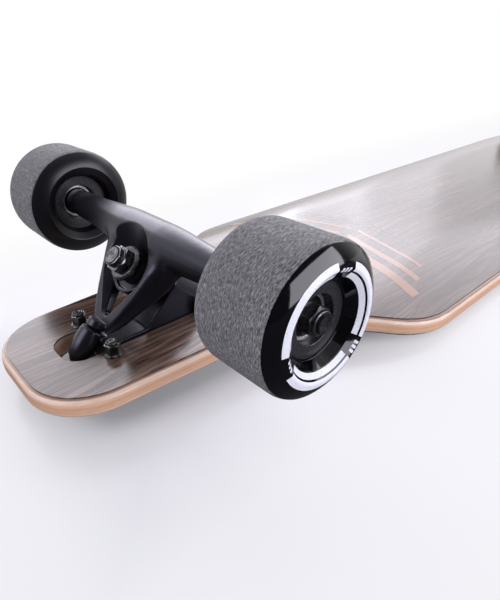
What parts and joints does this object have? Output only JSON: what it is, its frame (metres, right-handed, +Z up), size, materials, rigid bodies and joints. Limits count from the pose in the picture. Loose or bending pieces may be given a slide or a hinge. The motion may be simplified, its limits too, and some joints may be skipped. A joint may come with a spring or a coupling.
{
  "type": "longboard skateboard",
  "caption": "Drop-through longboard skateboard: concave laminated deck, sprung steering trucks and free-rolling urethane wheels, lying upside down on its rails.",
  "frame": {"origin": "on the floor below the middle of the board", "axes": "+X from the pictured nose to the other end, +Y along the axles, +Z up from the floor with the board lying upside down on its rails"},
  "size_m": [1.04, 0.2664, 0.109],
  "materials": {
    "maple": "clear coated edge",
    "walnut": "satin clear coat",
    "grip": "gritty",
    "black_casting": "satin black coat",
    "black_urethane": "satin",
    "steel": "worn zinc",
    "black_steel": "black oxide",
    "tyre_urethane": "gloss sides, ground tread",
    "core_plastic": "satin",
    "shield_steel": "dark"
  },
  "bodies": {
    "deck": {"deck_core": "maple", "bottom_veneer": "walnut", "grip_tape": "grip", "front_baseplate": "black_casting", "front_pivot_cup": "black_urethane", "front_kingpin": "steel", "front_kingpin_nut": "steel", "front_roadside_washer": "steel", "front_boardside_washer": "steel", "front_roadside_bushing": "black_urethane", "front_boardside_bushing": "black_urethane", "front_mounting_bolts": "black_steel", "front_mounting_nuts": "black_steel", "rear_baseplate": "black_casting", "rear_pivot_cup": "black_urethane", "rear_kingpin": "steel", "rear_kingpin_nut": "steel", "rear_roadside_washer": "steel", "rear_boardside_washer": "steel", "rear_roadside_bushing": "black_urethane", "rear_boardside_bushing": "black_urethane", "rear_mounting_bolts": "black_steel", "rear_mounting_nuts": "black_steel"},
    "front_hanger": {"front_hanger": "black_casting", "front_axle": "steel", "front_axle_washers": "steel", "front_bearing_inner_rings": "steel", "front_bearing_spacers": "steel", "front_axle_nuts": "steel"},
    "front_right_wheel": {"front_right_tyre": "tyre_urethane", "front_right_core": "core_plastic", "front_right_bearing_outer_rings": "steel", "front_right_bearing_shields": "shield_steel"},
    "front_left_wheel": {"front_left_tyre": "tyre_urethane", "front_left_core": "core_plastic", "front_left_bearing_outer_rings": "steel", "front_left_bearing_shields": "shield_steel"},
    "rear_hanger": {"rear_hanger": "black_casting", "rear_axle": "steel", "rear_axle_washers": "steel", "rear_bearing_inner_rings": "steel", "rear_bearing_spacers": "steel", "rear_axle_nuts": "steel"},
    "rear_right_wheel": {"rear_right_tyre": "tyre_urethane", "rear_right_core": "core_plastic", "rear_right_bearing_outer_rings": "steel", "rear_right_bearing_shields": "shield_steel"},
    "rear_left_wheel": {"rear_left_tyre": "tyre_urethane", "rear_left_core": "core_plastic", "rear_left_bearing_outer_rings": "steel", "rear_left_bearing_shields": "shield_steel"}
  },
  "joints": [
    {"name": "front_steer", "type": "hinge", "parent": "deck", "child": "front_hanger", "pos_m": [-0.44414, 0, 0.05962], "axis": [0.7071, 0, 0.7071], "range_deg": [-20, 20], "stiffness_Nm_per_rad": 40, "deforming": ["front_roadside_bushing", "front_boardside_bushing"]},
    {"name": "front_right_wheel_spin", "type": "hinge", "parent": "front_hanger", "child": "front_right_wheel", "pos_m": [-0.43, -0.1082, 0.07376], "axis": [0, 1, 0], "continuous": true},
    {"name": "front_left_wheel_spin", "type": "hinge", "parent": "front_hanger", "child": "front_left_wheel", "pos_m": [-0.43, 0.1082, 0.07376], "axis": [0, 1, 0], "continuous": true},
    {"name": "rear_steer", "type": "hinge", "parent": "deck", "child": "rear_hanger", "pos_m": [0.44414, 0, 0.05962], "axis": [-0.7071, 0, 0.7071], "range_deg": [-20, 20], "stiffness_Nm_per_rad": 40, "deforming": ["rear_roadside_bushing", "rear_boardside_bushing"]},
    {"name": "rear_right_wheel_spin", "type": "hinge", "parent": "rear_hanger", "child": "rear_right_wheel", "pos_m": [0.43, -0.1082, 0.07376], "axis": [0, 1, 0], "continuous": true},
    {"name": "rear_left_wheel_spin", "type": "hinge", "parent": "rear_hanger", "child": "rear_left_wheel", "pos_m": [0.43, 0.1082, 0.07376], "axis": [0, 1, 0], "continuous": true}
  ]
}
